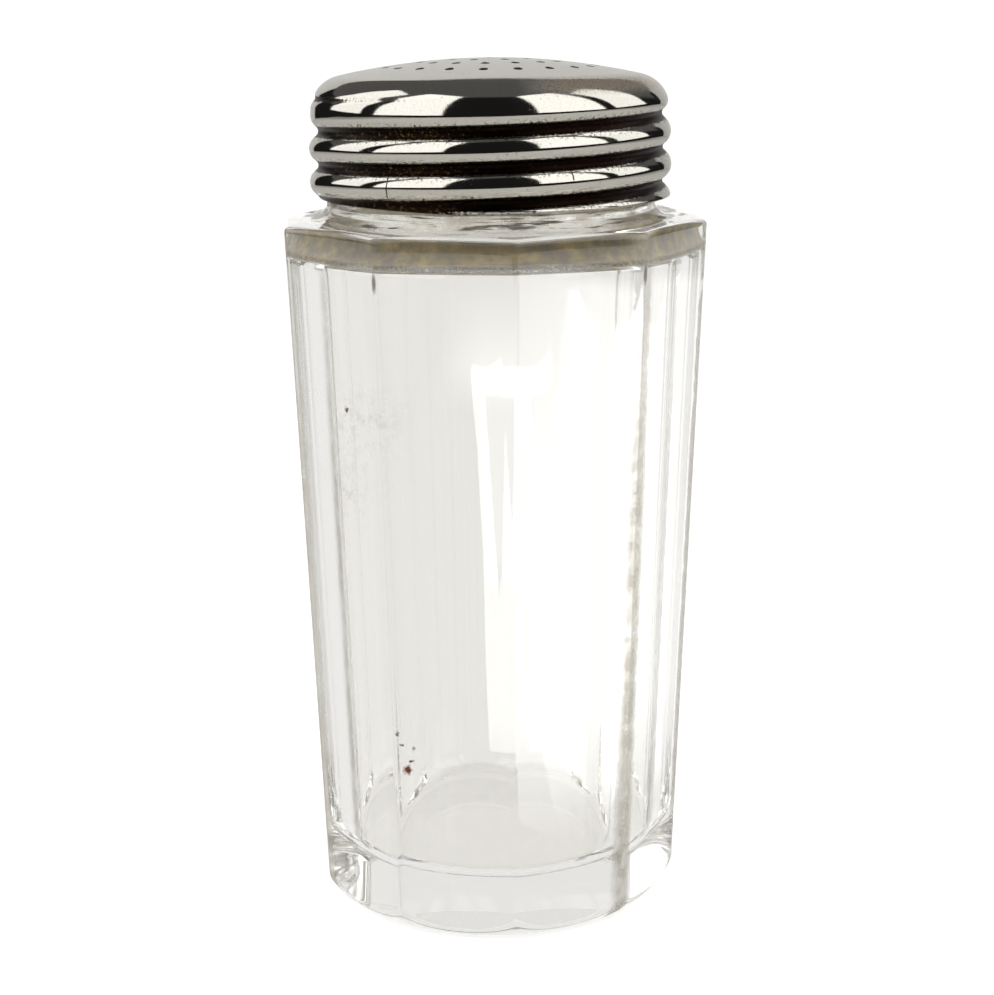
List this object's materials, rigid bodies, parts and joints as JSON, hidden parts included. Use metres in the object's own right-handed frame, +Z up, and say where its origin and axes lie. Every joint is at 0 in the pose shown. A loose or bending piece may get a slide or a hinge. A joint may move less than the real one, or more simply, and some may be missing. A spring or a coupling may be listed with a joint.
{
  "type": "salt shaker",
  "caption": "Ten-sided tapered glass salt shaker with a round threaded neck and a domed, perforated screw lid of plated sheet metal.",
  "frame": {"origin": "middle of the flat underside of the glass jar", "axes": "+Z up along the jar's axis, -Y towards one arris of the jar, +X towards the middle of a panel"},
  "size_m": [0.0538, 0.0566, 0.1119],
  "materials": {
    "clear_glass": "clear, fire polished inside, ground and polished panels",
    "cork": "pressed cork sheet, matt",
    "silver_plate": "silver plate over spun brass, polished, tarnished in the grooves"
  },
  "bodies": {
    "jar": {"glass_jar": "clear_glass"},
    "ring": {"seal_ring": "cork"},
    "lid": {"screw_lid": "silver_plate"}
  },
  "joints": [
    {"name": "lid_rise", "type": "slide", "parent": "jar", "child": "ring", "axis": [0, 0, 1], "range_m": [0, 0.0151]},
    {"name": "lid_turn", "type": "hinge", "parent": "ring", "child": "lid", "pos_m": [0, 0, 0.1], "axis": [0, 0, 1], "range_deg": [0, 1260]}
  ],
  "couplings": [
    {"joint": "lid_rise", "follows": "lid_turn", "m_per_rad": 0.00068437}
  ]
}
